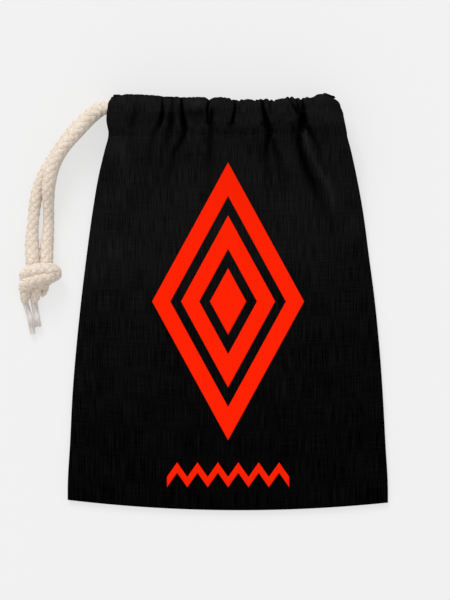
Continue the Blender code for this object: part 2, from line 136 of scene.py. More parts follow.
# The gathers, each followed down the cloth: its x, its y, how deep it is there and half its width. A ridge
# is less than nothing deep
GATHERS = [
    [(-42.6, 100, 0.4, 1.4), (-43.4, 91, 0.8, 1.6), (-45.6, 83.5, 0.9, 1.6), (-46.2, 74, 0.4, 1.8),
     (-46, 62, 0, 2)],
    [(-30.9, 101, 1.6, 0.45), (-31.1, 92, 2.2, 0.6), (-31.3, 89.1, 3, 1.05), (-31.7, 86.7, 2.5, 1.1),
     (-33.3, 83.3, 1.4, 1.2), (-35.3, 80.4, 1, 1.4), (-36.2, 74, 0.9, 2), (-38, 52, 0, 3)],
    [(-25.8, 101, 1.2, 0.6), (-26, 95.3, 1.2, 0.9), (-26.6, 89.6, 1.7, 1.2), (-27.3, 83.3, 1.8, 1.4),
     (-27.6, 80.4, 1.5, 1.3), (-30, 72.8, 1.2, 1.9), (-33, 52, 0, 3)],
    [(-22, 101, 2.4, 0.5), (-21.8, 92, 3, 0.8), (-20.9, 85.7, 3.3, 1.4), (-20.5, 82.4, 3.2, 1.3),
     (-21.3, 79, 2.4, 1.2), (-22.3, 76.1, 2, 1.3), (-25.6, 70.8, 1.8, 2), (-30, 46, 0, 3.5)],
    [(-15, 92.5, 0, 4), (-15, 89.5, 1.1, 4.5), (-14.5, 86.5, 0.8, 4.5), (-14, 82, 0, 4)],
    [(-8.9, 101, 2.4, 0.4), (-9, 95.8, 2.6, 0.45), (-9.7, 92, 2.8, 0.5), (-9.5, 86.7, 2.2, 0.5),
     (-9.6, 83.5, 0, 0.5)],
    [(-7.4, 92.9, 0, 0.7), (-7.4, 91, 1.6, 0.8), (-7.8, 87.2, 2, 0.9), (-7.9, 82.4, 1.5, 1.3),
     (-8, 79, 1.7, 1.4), (-8.1, 74.7, 1.6, 1.8), (-8.4, 62, 1, 2.4), (-8.6, 42, 0, 3.2)],
    [(3.6, 101, 2.2, 0.45), (3.5, 92, 2.6, 0.55), (2.5, 86.5, 2.1, 0.7), (1.2, 83.8, 0.8, 1.1),
     (1, 79, 0, 1.4)],
    [(16, 101, 2.6, 0.5), (16.9, 92, 3, 0.8), (18.5, 86.8, 3.3, 1.3), (19.8, 81.4, 3.3, 1.8),
     (19.5, 77.6, 2.7, 1.6), (18.7, 74.2, 2.3, 1.2), (19, 68, 1.5, 1.6), (19.5, 50, 0, 2.6)],
    [(20.9, 80.4, 0, 1), (21.9, 77.1, 2, 1.1), (22.8, 72.8, 1.8, 1.3), (24.7, 68, 1.6, 1.9),
     (28, 46, 0, 3)],
    [(20, 101, 1.4, 0.4), (20.4, 92, 1.4, 0.45), (20.8, 88.1, 0, 0.5)],
    [(29, 101, 1.4, 0.45), (30, 95.8, 1.4, 0.5), (33.2, 90.5, 2.4, 0.9), (34.5, 87, 0, 1)],
    [(32.4, 101, 1.8, 0.45), (32.9, 96.3, 1.8, 0.5), (33.9, 92, 2.6, 0.8), (35, 87, 0, 1)],
    [(34.9, 101, 2.2, 0.5), (35.4, 96.3, 2.3, 0.55), (36.4, 92, 2.9, 0.9), (36.4, 87, 0, 1)],
    [(35, 94, 0, 1), (35.8, 89.6, 3.2, 1.8), (35.8, 86.2, 3.3, 2.3), (35, 82.8, 3, 1.6),
     (34, 79.5, 2.6, 1.3), (34.5, 73.7, 2.8, 1.8), (37.4, 64.5, 2.9, 2.3), (40.9, 57, 2.6, 2.7),
     (44, 49, 1.9, 2.9), (47.6, 40, 1.1, 3), (51.5, 26, 0, 3.4)],
    [(31.8, 86, 0, 1), (31.4, 83, 1.6, 1.1), (31, 79.5, 1, 1.1), (31, 73, 0, 1.2)],
    [(37.2, 86.5, 0, 1.2), (38.4, 82.8, 2.4, 1.3), (40.8, 79.2, 1.6, 1.1), (43.2, 73.4, 0.8, 1.2),
     (45.5, 67, 0, 1.4)],
    [(38, 74, 0, 4.2), (40.3, 64, 1.2, 4.2), (43.6, 54, 1.7, 4.2), (46.5, 44, 1.4, 4.2),
     (49.5, 32, 0.6, 4.2), (51.5, 20, 0, 4.2)],
    [(35.8, 83, 0, 1.5), (36.8, 79.5, -1.5, 1.5), (38.9, 72.5, -2.2, 1.8), (43.6, 62.8, -2.1, 2.1),
     (48, 54.5, -1.5, 2.3), (51.8, 41, 0, 2.5)],
    [(-50, 80, 0, 3.4), (-50, 75, -0.6, 3.4), (-49, 62, -0.6, 3.4), (-48.5, 48, 0, 3.4)],
    [(40.2, 98.5, 0, 0.6), (40.6, 95.8, 1, 0.6), (41.8, 92.5, 0, 0.6)],
    [(-14.6, 99.5, 0, 3.2), (-14.8, 94, -0.8, 3.2), (-15, 90.5, 0, 3.2)],
]
SOFT_CREASE = 1.5
SHARP_CREASE = 3.2
SHARP_FROM = 74.0
SHARP_SPAN = 8.0
DEEPEST = 3.2
CROWDING = 2.2
CROWDING_DEPTH = 0.8
CROWDING_SAMPLES = 400

# The mouth's edge, at each x: it stands higher near both ends and dips where a gather crosses it
MOUTH_EDGE = [
    (-57.2, -1.2), (-55.4, 0.1), (-53.5, 0.1), (-51.6, 0.15), (-48.9, 0.9), (-45.8, 1), (-40, 0.75),
    (-34, 0.4), (-28.5, -0.2), (-25.5, -0.1), (-22, -0.4), (-15, -0.35), (-11, -0.4), (-8.6, -1.4),
    (-6.2, -0.5), (-2, -0.45), (1, -0.8), (4.5, -1.7), (8.9, -1.1), (12, -1.6), (17.5, -1),
    (23, -1.6), (26.5, -0.6), (30.5, -0.1), (34.8, -0.9), (37.7, -0.3), (40.8, -0.3), (43.2, 0.9),
    (45, 1.1), (46.5, 0.9), (48, 0.4), (50.2, -0.3), (52, 0.1),
]
MOUTH_DIP = 0.2
RISE_FROM = 0.6
RISE_SPAN = 4.5
BACK_GATHER = 0.4
BACK_PRESS = 0.5
BACK_PRESS_FROM = -2.0
BACK_PRESS_SPAN = 4.0
CASING_DRAPE = 0.6

# Fine gathers serrate the mouth's edge, and puckers run along the stitch line
EDGE_PLEAT = 2.9
EDGE_PLEAT_DEPTH = 0.9
EDGE_PLEAT_SHARPNESS = 0.7
PLEATED = (-53.0, 49.0)
PLEATED_FADE = 8.0
CLOSE_PLEATS = (-4.0, 42.0)
CLOSE_PLEATS_FADE = 6.0
LOOSE_PLEATS = 0.3
RIPPLE_FROM = -1.0
RIPPLE_SPAN = 5.0
STITCH_DROP = 0.3
STITCH_TILT = -0.014
STITCH_GROOVE = 0.4
STITCH_GROOVE_HALF = 0.8
GROOVE_MEAN = 0.8
GROOVE_SWING = 0.35
PUCKER = 4.3
PUCKER_DEPTH = 0.16
PUCKER_REACH = 6.0

# What keeps the pleats and puckers uneven: slow waves, each with its height, its rate along x and its phase
PLEAT_WANDER = [(0.9, 0.37, 0.0), (0.6, 0.83, 1.0)]
PUCKER_WANDER = [(1.3, 0.23, 0.7), (0.8, 0.61, 0.0)]

# The drape: broad soft waves, each with its direction, length and height, which grow up the cloth
Wave = namedtuple("Wave", "across down height phase")
WAVES = [
    Wave(0.21, 0.012, 0.16, 0.4),
    Wave(0.13, -0.025, 0.22, 2.1),
    Wave(0.07, 0.055, 0.25, 4.0),
    Wave(-0.045, 0.09, 0.18, 1.2),
    Wave(0.33, 0.035, 0.07, 5.2),
]

DRAPE_LEAST = 0.45
DRAPE_FROM = -20.0
DRAPE_SPAN = 90.0

# Painted shade and highlight on the black: the gathers' depths are painted darker, and the ridges are painted
# paler
FULL_SHADE_DEPTH = 3.0
RIDGE_HIGHLIGHT = 0.7
RIDGE_FULL = 1.5

# Mesh steps
CURVE_STEPS = 16
Grid = namedtuple("Grid", "columns rows outer brim inner")
FRONT_GRID = Grid(columns=184, rows=136, outer=60, brim=4, inner=12)
BACK_GRID = Grid(columns=110, rows=90, outer=34, brim=4, inner=14)
FLANK_COLUMNS = 9
BACK_MARGIN = 1.2
BACK_CORNER = 1.5
ROW_CROWDING = 0.45
SEAM_ROWS = [0.0, 0.12, 0.35, 0.7, 1.1, 1.6, 2.3]

# The free strands lie on the surface, the front one on the back one until they part side by side
FRONT_STRAND = [
    (-54.6, 92.9, 14.9), (-57.1, 93.0, 12.8), (-60.0, 92.5, 11.3), (-62.9, 90.9, 10.45),
    (-66.2, 88.0, 9.95), (-69.8, 83.9, 9.75), (-73.4, 79.7, 9.75), (-76.9, 75.7, 9.75), (-79.8, 71.8, 9.7),
    (-82.1, 67.9, 9.5), (-83.8, 63.9, 9.2), (-85.0, 59.2, 8.6), (-85.8, 53.6, 7.6), (-85.8, 46.8, 5.4),
    (-85.7, 39.6, 3.4), (-86.1, 32.4, 3.2), (-86.7, 25.7, 3.8), (-86.8, 19.3, 4.8),
]
BACK_STRAND = [
    (-57.9, 92.9, 4.1), (-60.8, 92.7, 3.9), (-63.6, 91.3, 3.6), (-67.1, 88.4, 3.3), (-71.1, 84.8, 3.15),
    (-74.8, 80.8, 3.15), (-78.0, 76.6, 3.15), (-81.0, 72.4, 3.15), (-84.0, 67.9, 3.15), (-86.6, 63.8, 3.15),
    (-89.0, 59.3, 3.15), (-90.8, 53.6, 3.15), (-92.1, 47.8, 3.15), (-92.8, 42.3, 3.15), (-93.3, 36.8, 3.15),
    (-93.7, 31.5, 3.2), (-93.7, 25.7, 3.8), (-93.4, 19.75, 4.8),
]
FRONT_END_IN_KNOT = (-87.2, 15.4, 4.9)
BACK_END_IN_KNOT = (-93.2, 15.6, 4.9)

# How full the braid of the free strands is at each y, as a share of the cord's thickness: tight where they
# part, loose where the knot pushes it together
FRONT_FULLNESS = [
    (15, 1.08), (21, 1.12), (27, 1.12), (31.5, 1.03), (36, 0.94), (40, 0.91), (45, 0.94),
    (50, 1.04), (56, 1.14), (66, 1.14), (75, 1.08), (82, 1.15), (88, 1.26), (91.2, 1.27),
    (92.6, 1.16), (93.2, 1.06),
]
BACK_FULLNESS = [
    (15, 1.12), (21, 1.20), (27, 1.20), (31.5, 1.09), (37, 0.98), (44, 1.00), (52, 1.07),
    (60, 0.98), (68, 1.05), (75, 1.08), (95, 1.10),
]

# The tails taper into their taped ends
TAIL_FULLNESS = [(-0.9, 0.46), (0.6, 0.68), (3.0, 0.95), (8.0, 1.0)]

# The knot: two turns of cord side by side round the two strands, which leave below as tails
UPPER_TURN = [
    (-96.7, 12.4, 5.0), (-94.2, 14.3, 7.4), (-90.6, 15.1, 7.9), (-86.6, 15.4, 7.7), (-83.6, 14.7, 6.6),
    (-82.7, 13.2, 4.9), (-84.6, 12.4, 3.6), (-89.0, 12.0, 3.5), (-94.0, 11.4, 3.7),
]
LOWER_TURN = [
    (-97.0, 7.1, 4.7), (-94.9, 9.2, 7.1), (-91.2, 10.6, 8.0), (-87.6, 11.6, 7.9), (-84.8, 12.6, 6.8),
    (-84.0, 12.8, 5.0), (-86.4, 11.2, 3.7), (-89.6, 8.8, 3.6), (-92.4, 8.2, 3.6), (-95.4, 7.0, 3.7),
]
TURN_CORD = 7.2
TURN_STEP = 0.55
STUB = [(-87.6, 9.8, 3.6), (-87.0, 6.9, 2.4), (-88.1, 4.5, 2.0), (-89.6, 3.2, 1.9)]
STUB_CORD = 3.2
TAIL_LEFT = [(-95.6, 8.0, 4.6), (-96.9, 3.4, 3.4), (-97.2, 1.4, 2.7), (-96.9, -0.8, 2.1)]
TAIL_RIGHT = [(-91.8, 8.0, 4.6), (-92.2, 3.0, 3.5), (-92.7, 0.4, 2.5), (-92.5, -0.9, 2.2)]
TIP_LEFT = [
    (-96.9, -0.3, 2.0), (-95.8, -3.9, 1.5), (-94.8, -7.6, 1.4), (-94.0, -11.6, 1.4), (-93.2, -15.6, 1.4),
]
TIP_RIGHT = [(-92.6, 0.2, 2.2), (-92.1, -4.0, 1.7), (-91.4, -8.0, 1.6), (-90.7, -12.1, 1.6)]
TAIL = 6.0

# The taped tips: lengthwise folds, each with its depth, how many go round and its phase, and a slow
# wave along
TIP_THICK_LEFT = 2.7
TIP_THICK_RIGHT = 3.1
TIP_STEP = 0.6
TIP_SIDES = 28
TIP_FOLDS = [(0.045, 5, 0.6), (0.03, 9, 0.0)]
TIP_WAVE = 0.03
TIP_WAVE_RATE = 1.1

# Each free strand leaves the knot as a tail, and the strands cross inside it
Strand = namedtuple("Strand", "name route fullness tail_side tail tip tip_thick")
STRANDS = [
    Strand(
        name="front", route=FRONT_STRAND + [FRONT_END_IN_KNOT], fullness=FRONT_FULLNESS,
        tail_side="right", tail=TAIL_RIGHT, tip=TIP_RIGHT, tip_thick=TIP_THICK_RIGHT,
    ),
    Strand(
        name="back", route=BACK_STRAND + [BACK_END_IN_KNOT], fullness=BACK_FULLNESS,
        tail_side="left", tail=TAIL_LEFT, tip=TIP_LEFT, tip_thick=TIP_THICK_LEFT,
    ),
]

# The braid: carriers run both ways round the cord, each over and under in turn
CARRIERS = 5
BRAID_LEAD = 21.0
CARRIER_WIDE = 0.42
CARRIER_THICK = 0.22
CARRIER_SIDES = 6
CARRIER_SHIFT = 3.7
BRAID_STEP = 0.7
OVER_UNDER = 0.055
BRAID_CORE = 0.30
CORE_SIDES = 10
SHARP_EDGE = math.radians(60)

# The print's figures
PRINT_X = 0.3
PRINT_HALF_WIDTH = 36.4
PRINT_TOP = 66.5
PRINT_BOTTOM = -66.4
PRINT_SHARES = [1.0, 0.62]
PRINT_CENTRE_SHARE = 0.24
PRINT_STROKE = 7.7
BAND_LEFT = -29.0
BAND_RIGHT = 29.6
BAND_LOW = -89.0
BAND_HIGH = -77.0
BAND_PEAKS = 6
BAND_STROKE = 1.9
INK_STEP = 1.0
ABOVE = 60.0
INK_LIFT = 0.07
INK_THICK = 0.05

# Painted light on the black, as if lit from beyond the mouth and the left: its tone from the base to the mouth,
# as a share of a tenth, and how the change leans to the right
PAINTED_LIGHT_LENGTH = 220.0
PAINTED_LIGHT_TILT = -0.17
PAINTED_LIGHT_STOPS = [
    (0.0, 0.033), (0.12, 0.037), (0.30, 0.054), (0.42, 0.066), (0.52, 0.098), (0.60, 0.106), (0.76, 0.105),
    (0.81, 0.112), (0.85, 0.140), (0.90, 0.138), (0.93, 0.124),
]
STREAK_MEAN = 0.6
STREAK_SHARE = 0.6
STREAK_ALWAYS = 0.04
WEAVE_PITCH = 0.62

# Stitching: each stitch is bowed, its ends are drawn into the cloth, and it slips and strays a little
STITCH = 2.3
STITCH_SPACING = 2.9
STITCH_FIRST = -52.0
STITCH_COUNT = 36
STITCH_POINTS = 7
STITCH_SLIP = 0.15
STITCH_STRAY = 0.12
STITCH_SLANT = 0.06
STITCH_LIFT = 0.1
STITCH_STEP = 0.5
THREAD = 0.34
THREAD_END = 0.55
THREAD_SIDES = 7

# Colours in linear light
BLACK = (0.0, 0.0, 0.0)
# The black's paler end, reached by the slubs, by the painted light and by the painted highlight on the ridges
PALE_BLACK = (0.1, 0.1, 0.1)
INK = (0.90, 0.011, 0.0006)
PALE_INK = (0.99, 0.019, 0.0010)
BARE_THREAD = (0.25, 0.004, 0.002)
COTTON = (0.67, 0.560, 0.450)
PALE_COTTON = (0.80, 0.715, 0.620)
COTTON_GROOVE_SHADE = (0.50, 0.395, 0.30)
HUSK = (0.36, 0.26, 0.17)
TAPE_FOLD = (0.36, 0.31, 0.29)
TAPE = (0.74, 0.69, 0.66)
TAPE_GLARE = (0.80, 0.74, 0.68)
THREAD_DARK = (0.004, 0.004, 0.004)
THREAD_SHEEN = (0.015, 0.015, 0.015)
FLOOR_DARK = (0.227, 0.227, 0.227)
FLOOR_PALE = (0.232, 0.232, 0.232)
WHITE = (1.0, 1.0, 1.0)

# The studio, in metres: a floor that glows a little, an even white world and one large light beyond the mouth
FLOOR_HALF = 2.0
FLOOR_GLOW = 0.632
WORLD_STRENGTH = 0.80
LIGHT_PLACE = (-1.6, 4.6, 3.0)
LIGHT_SIZE = 2.2
LIGHT_POWER = 190.0


def smooth_value(pairs, at):
    """The value at each place, on a smooth curve through the pairs of place and value."""
    places, values = np.array(pairs, float).T
    slopes = np.gradient(values, places)
    at = np.clip(at, places[0], places[-1])
    i = np.clip(np.searchsorted(places, at, side="right") - 1, 0, len(places) - 2)
    span = places[i + 1] - places[i]
    s = (at - places[i]) / span
    rise = values[i] * (1 - s) ** 2 * (1 + 2 * s) + values[i + 1] * s**2 * (3 - 2 * s)
    return rise + span * s * (1 - s) * (slopes[i] * (1 - s) - slopes[i + 1] * s)


def table_value(table, column, y):
    """The column's value at each height, on a smooth curve through the table's rows."""
    return smooth_value([(row.y, getattr(row, column)) for row in table], y)


def between(a, b, c, d, s):
    """A smooth curve from b to c, which heads there as the neighbours a and d say."""
    return 0.5 * (2 * b + (c - a) * s + (2 * a - 5 * b + 4 * c - d) * s**2 + (3 * b - a - 3 * c + d) * s**3)


def spline_value(values, t):
    """A smooth curve through the values, at the real-numbered index t."""
    values = np.asarray(values, float)
    padded = np.concatenate([[2 * values[0] - values[1]], values, [2 * values[-1] - values[-2]]])
    i = np.clip(np.floor(t).astype(int), 0, len(values) - 2)
    return between(padded[i], padded[i + 1], padded[i + 2], padded[i + 3], t - i)


def ease(value):
    """0 below 0, 1 above 1, and a smooth step between them."""
    value = np.clip(value, 0.0, 1.0)
    return value * value * (3 - 2 * value)


def window(x, limits, fade):
    """1 between the limits, easing to 0 outside them."""
    return ease((x - limits[0]) / fade) * ease((limits[1] - x) / fade)


def wander(x, waves):
    return sum(height * np.sin(rate * x + phase) for height, rate, phase in waves)


def base_y(x):
    """The base seam's height, which bows down in the middle."""
    return BASE_Y + BASE_BOW * ((x - BASE_BOW_X) / BASE_BOW_HALF) ** 2


def crease_depth(x, y):
    """How deep the gathers press the front cloth at each place, and how far the ridges lift it."""
    deepest = np.zeros(np.broadcast(x, y).shape)
    lifted = np.zeros_like(deepest)
    sharpness = SOFT_CREASE + (SHARP_CREASE - SOFT_CREASE) * ease((y - SHARP_FROM) / SHARP_SPAN)
    for gather in GATHERS:
        route = np.array(gather[::-1])
        line, depth, half = (np.interp(y, route[:, 1], route[:, column]) for column in (0, 2, 3))
        away = np.abs(x - line) / half
        deepest = np.maximum(deepest, depth * np.exp(-(away**sharpness)))
        lifted = np.minimum(lifted, depth * np.exp(-(away**2)))
    return deepest, lifted


def drape(x, y):
    """Broad soft waves over the cloth, which die out towards the base."""
    height = np.zeros(np.broadcast(x, y).shape)
    for wave in WAVES:
        height = height + wave.height * np.sin(wave.across * x + wave.down * y + wave.phase)
    return height * (DRAPE_LEAST + (1 - DRAPE_LEAST) * ease((y - DRAPE_FROM) / DRAPE_SPAN))


def stitch_y(x):
    return STITCH_Y - STITCH_DROP + STITCH_TILT * x


def stitch_relief(x, y):
    """The groove that the thread pulls along the stitch line, and the puckers beside it."""
    away = y - stitch_y(x)
    groove = STITCH_GROOVE * np.exp(-((away / STITCH_GROOVE_HALF) ** 2))
    groove = groove * (GROOVE_MEAN + GROOVE_SWING * np.cos(2 * math.pi * x / STITCH_SPACING))
    pucker = PUCKER_DEPTH * np.sin(2 * math.pi * (x + wander(x, PUCKER_WANDER)) / PUCKER)
    return pucker * np.exp(-np.abs(away) / PUCKER_REACH) - groove


def inset_from_edges(x, y):
    """How far each place lies inside the nearer side."""
    left = table_value(SIDES, "left", y)
    right = table_value(SIDES, "right", y)
    return np.maximum(np.minimum(x - left, right - x), 0.0)


def curled(inset):
    """0 on the flat of the cloth, growing to 1 at its very edge, as a quarter circle does."""
    part = np.clip(1 - inset / EDGE_CURL, 0.0, 1.0)
    return 1 - np.sqrt(1 - part * part)


def seam_z(y):
    return (table_value(STANDS, "front_edge", y) + table_value(STANDS, "back_edge", y)) / 2


def front_height(x, y):
    """The front cloth's outer face below the casing."""
    inset = inset_from_edges(x, y)
    above_base = np.maximum(y - base_y(x), 0.0)
    part = np.clip(1 - inset / table_value(STANDS, "flank", y), 0.0, 1.0)
    spread = (1 - part * part) ** table_value(STANDS, "roundness", y)
    spread = spread * (1 - np.exp(-above_base / BASE_ROUND))
    edge = table_value(STANDS, "front_edge", y)
    deepest, lifted = crease_depth(x, y)
    relief = drape(x, y) - deepest - lifted + stitch_relief(x, y)
    height = edge + (table_value(STANDS, "crown", y) - edge + relief) * spread
    return height - curled(np.minimum(inset, above_base)) * (edge - seam_z(y) - SEAM_SLIT)


def back_height(x, y):
    """The back cloth's outer face, which lies on the surface and rises only at the sides near the casing."""
    inset = inset_from_edges(x, y)
    part = np.clip(1 - inset / TURN_RADIUS, 0.0, 1.0)
    edge = np.maximum(table_value(STANDS, "back_edge", y), 0.0)
    height = edge * (1 - np.sqrt(1 - part * part))
    near = np.minimum(inset, np.maximum(y - base_y(x), 0.0))
    return height + curled(near) * (seam_z(y) - SEAM_SLIT - edge)


def crowded(low, high, y, count):
    """Places between two sides at each height, closer together where the gathers are."""
    x = low + (high - low) * np.linspace(0, 1, CROWDING_SAMPLES)[None, :]
    deepest, lifted = crease_depth(x, y)
    density = 1 + CROWDING * np.clip((deepest - lifted) / CROWDING_DEPTH, 0, 1)
    climbed = np.cumsum(density, axis=1)
    shares = (climbed - climbed[:, :1]) / (climbed[:, -1:] - climbed[:, :1])
    wanted = np.linspace(0, 1, count + 2)[1:-1]
    return np.array([np.interp(wanted, share, places) for share, places in zip(shares, x)])


def body_rows(height, grid):
    """The cloth from its base seam up to the stitch line, as a grid of places."""
    whole = STITCH_Y - BASE_Y
    climb = np.linspace(0, 1, grid.rows)
    climb = climb * (1 + ROW_CROWDING * (1 - climb))
    climbed = np.concatenate([SEAM_ROWS, SEAM_ROWS[-1] + (whole - SEAM_ROWS[-1]) * climb[1:]])[:, None]
    left = table_value(SIDES, "left", BASE_Y + climbed)
    right = table_value(SIDES, "right", BASE_Y + climbed)
    flank = TURN_RADIUS * (1 - np.cos(np.linspace(0, QUARTER, FLANK_COLUMNS)))[None, :]
    middle = crowded(left + TURN_RADIUS, right - TURN_RADIUS, BASE_Y + climbed, grid.columns)
    x = np.hstack([left + flank, middle, right - flank[:, ::-1]])
    y = base_y(x) + (STITCH_Y - base_y(x)) * climbed / whole
    return np.stack([x, y, height(x, y)], axis=-1)


def section_values(t, outer, inner=None):
    """A column of the section at the real-numbered row t: up the outer face and down the inner one."""
    up_outside = [getattr(row, outer) for row in SECTIONS]
    down_inside = [getattr(row, inner) for row in SECTIONS[::-1]] if inner else [0.0] * len(SECTIONS)
    return spline_value(up_outside + down_inside, t)


def casing_path(grid):
    """The section's real-numbered rows: up the outer face, over the brim and down the inner face."""
    stages = ((0, LAST, grid.outer), (LAST, LAST + 1, grid.brim), (LAST + 1, FAR_ROW, grid.inner))
    return np.concatenate([np.linspace(low, high, count + 1)[1:] for low, high, count in stages])[:, None]


def casing_columns(side, up, grid):
    """Each row's columns: their places along the casing, and their angles round the turns at its ends."""
    folded = SECTIONS[:SIDE_FOLD_ROWS]
    reach = TURN_RADIUS + np.interp(up, [row.up for row in folded], [row.seam for row in folded])
    side_y = CORD_Y + np.minimum(up, 0.0)
    right = table_value(SIDES, "right", side_y) - reach
    left = table_value(SIDES, "left", side_y)
    steps = np.linspace(0, 1, FLANK_COLUMNS)[None, :]
    if side == "front":
        left = left + reach * math.sin(FRONT_TURN)
        left_flank = left + 0 * steps
        left_angles = FRONT_TURN * (steps - 1)
    else:
        left = left + BACK_CORNER * np.clip(up / SECTIONS[-1].up, 0, None) ** 2
        left_flank = left + BACK_MARGIN * steps
        left = left + BACK_MARGIN
        left_angles = 0 * steps
    middle = crowded(left, right, np.clip(CORD_Y + up, STITCH_Y, None), grid.columns)
    flat = np.hstack([left_flank, middle, right + 0 * steps])
    angle = np.hstack([left_angles, np.zeros((1, grid.columns)), QUARTER * steps])
    return flat, angle + 0 * up


def mouth_shape(x, pressed):
    """How far the mouth's edge rises at each place, and how far its fine pleats pull it in."""
    wave = np.abs(np.sin(math.pi * (x + wander(x, PLEAT_WANDER)) / EDGE_PLEAT)) ** EDGE_PLEAT_SHARPNESS
    strong = LOOSE_PLEATS + (1 - LOOSE_PLEATS) * window(x, CLOSE_PLEATS, CLOSE_PLEATS_FADE)
    notch = (1 - wave) * strong * EDGE_PLEAT_DEPTH * window(x, PLEATED, PLEATED_FADE)
    return smooth_value(MOUTH_EDGE, x) - MOUTH_DIP * pressed - notch, notch


def casing_swell(side, t, flat, up, flatness, pressed, lifted):
    """How far the cloth stands off its section: out between the gathers, and in where they press it."""
    outer = ease((OUTER_END - t) / OUTER_FADE)
    if side == "back":
        return -outer * BACK_PRESS * pressed * ease((up - BACK_PRESS_FROM) / BACK_PRESS_SPAN)
    y = CORD_Y + up
    swell = section_values(t, "puff") * (flatness**3 - pressed) - section_values(t, "press") * pressed
    return outer * (swell - lifted + stitch_relief(flat, y) + CASING_DRAPE * drape(flat, y) * flatness)


def pleat_ripple(side, t, up, pleat):
    """The fine pleats' pull on the cloth, which never takes one face through the other."""
    own = section_values(t, side + "_out", side + "_in")
    opposite = section_values(FAR_ROW - t, side + "_out", side + "_in")
    room = np.clip(np.abs(own - opposite) / 2 - CLOTH, 0, None)
    inward = np.where(t <= LAST + 0.5, 1.0, -1.0)
    return inward * np.minimum(pleat * ease((up - RIPPLE_FROM) / RIPPLE_SPAN), room)


def casing_rows(side, grid):
    """The casing: up its outer face from the stitch line, over the mouth's edge and down inside."""
    facing, gather = (1, 1.0) if side == "front" else (-1, BACK_GATHER)
    t = casing_path(grid)
    up = section_values(t, "up", "up")
    flat, angle = casing_columns(side, up, grid)
    turned = np.abs(angle) / QUARTER
    flatness = 1 - turned
    deepest, lifted = crease_depth(flat, np.maximum(CORD_Y + up, STITCH_Y))
    pressed = gather * np.clip(deepest / DEEPEST, 0, 1) * flatness
    own = section_values(t, side + "_out", side + "_in")
    seam = section_values(t, "seam") - section_values(FAR_ROW - t, "seam")
    rise, pleat = mouth_shape(flat + TURN_RADIUS * np.sin(angle), pressed)
    out = own + (seam - own) * turned + casing_swell(side, t, flat, up, flatness, pressed, lifted)
    radius = TURN_RADIUS + out - pleat_ripple(side, t, up, pleat) * flatness
    up = up + rise * np.clip((up - RISE_FROM) / RISE_SPAN, 0, None)
    z = MIDDLE_Z + facing * (radius * np.cos(angle) + np.where(turned >= 1, SEAM_SLIT, 0.0))
    return np.stack([flat + radius * np.sin(angle), CORD_Y + up, z], axis=-1)


def cloth_places(side, grid):
    """One cloth of the pouch, from its base seam over the mouth's edge to its hem, as one grid."""
    body = body_rows(front_height if side == "front" else back_height, grid)
    upper = casing_rows(side, grid)
    share = ease((upper[:, :, 1] - STITCH_Y) / STITCH_BLEND)
    share[grid.outer:] = 1.0
    carried = body[-1][None] + np.stack(
        [0 * upper[..., 0], upper[..., 1] - body[-1, :, 1], upper[..., 2] - upper[:1, :, 2]], axis=-1
    )
    upper = carried + (upper - carried) * share[..., None]
    if side == "back":
        upper[..., 2] = np.maximum(upper[..., 2], 0.0)
    return np.concatenate([body, upper])


def metres(places):
    return (np.asarray(places, float) * MM).tolist()


def placed(name, data, location=(0.0, 0.0, 0.0)):
    """A new object in the scene."""
    obj = bpy.data.objects.new(name, data)
    obj.location = location
    bpy.context.scene.collection.objects.link(obj)
    return obj


def new_object(name, points, faces, uvs):
    """A mesh object in metres from places in millimetres. uvs holds one pair for each point."""
    mesh = bpy.data.meshes.new(name)
    mesh.from_pydata(metres(points), [], faces)
    corners = np.empty(len(mesh.loops), int)
    mesh.loops.foreach_get("vertex_index", corners)
    layer = mesh.uv_layers.new(name="cloth")
    layer.data.foreach_set("uv", np.asarray(uvs, np.float32)[corners].ravel())
    mesh.shade_smooth()
    return placed(name, mesh)


def grid_faces(rows, columns, start=0, wrap=False):
    """Four-cornered faces between neighbouring rows and columns of a grid of points."""
    i = np.arange(rows - 1)[:, None]
    j = np.arange(columns if wrap else columns - 1)[None, :]
    k = (j + 1) % columns
    corners = [i * columns + j, i * columns + k, (i + 1) * columns + k, (i + 1) * columns + j]
    return start + np.stack(np.broadcast_arrays(*corners), axis=-1).reshape(-1, 4)


def thicken(obj, thickness, outward=False):
    wall = obj.modifiers.new("thickness", "SOLIDIFY")
    wall.thickness = thickness * MM
    wall.offset = 1 if outward else -1


def texture_places(places):
    """Where each place lies on the flat cloth: straight across its face, and round its side folds."""
    across = places[:, :, 0].copy()
    steps = np.linalg.norm(np.diff(places, axis=1), axis=2)
    for i in range(FLANK_COLUMNS - 1, 0, -1):
        across[:, i - 1] = across[:, i] - steps[:, i - 1]
        across[:, -i] = across[:, -i - 1] + steps[:, -i]
    along = distance_along(places[:, places.shape[1] // 2])
    return np.stack(np.broadcast_arrays(across + CLOTH_WIDTH / 2, along[:, None]), axis=-1).reshape(-1, 2)


def paint_fold_shading(obj, places):
    """Stores the painted shading of the folds at each place: a painted highlight that pales the ridges, and
    painted shade that darkens the depths of the gathers.
    """
    deepest, lifted = crease_depth(places[:, :, 0], places[:, :, 1])
    painted_fold_shading = (1 - np.clip(deepest / FULL_SHADE_DEPTH, 0, 1)) * (1 + np.clip(-lifted, 0, RIDGE_FULL) * RIDGE_HIGHLIGHT)
    layer = obj.data.attributes.new("painted_fold_shading", "FLOAT", "POINT")
    layer.data.foreach_set("value", painted_fold_shading.ravel().astype(np.float32))


def cloth(side, grid):
    places = cloth_places(side, grid)
    faces = grid_faces(*places.shape[:2])
    if side == "back":
        faces = faces[:, ::-1]
    obj = new_object(side + "_cloth", places.reshape(-1, 3), faces.tolist(), texture_places(places))
    paint_fold_shading(obj, places)
    thicken(obj, CLOTH)
    return obj


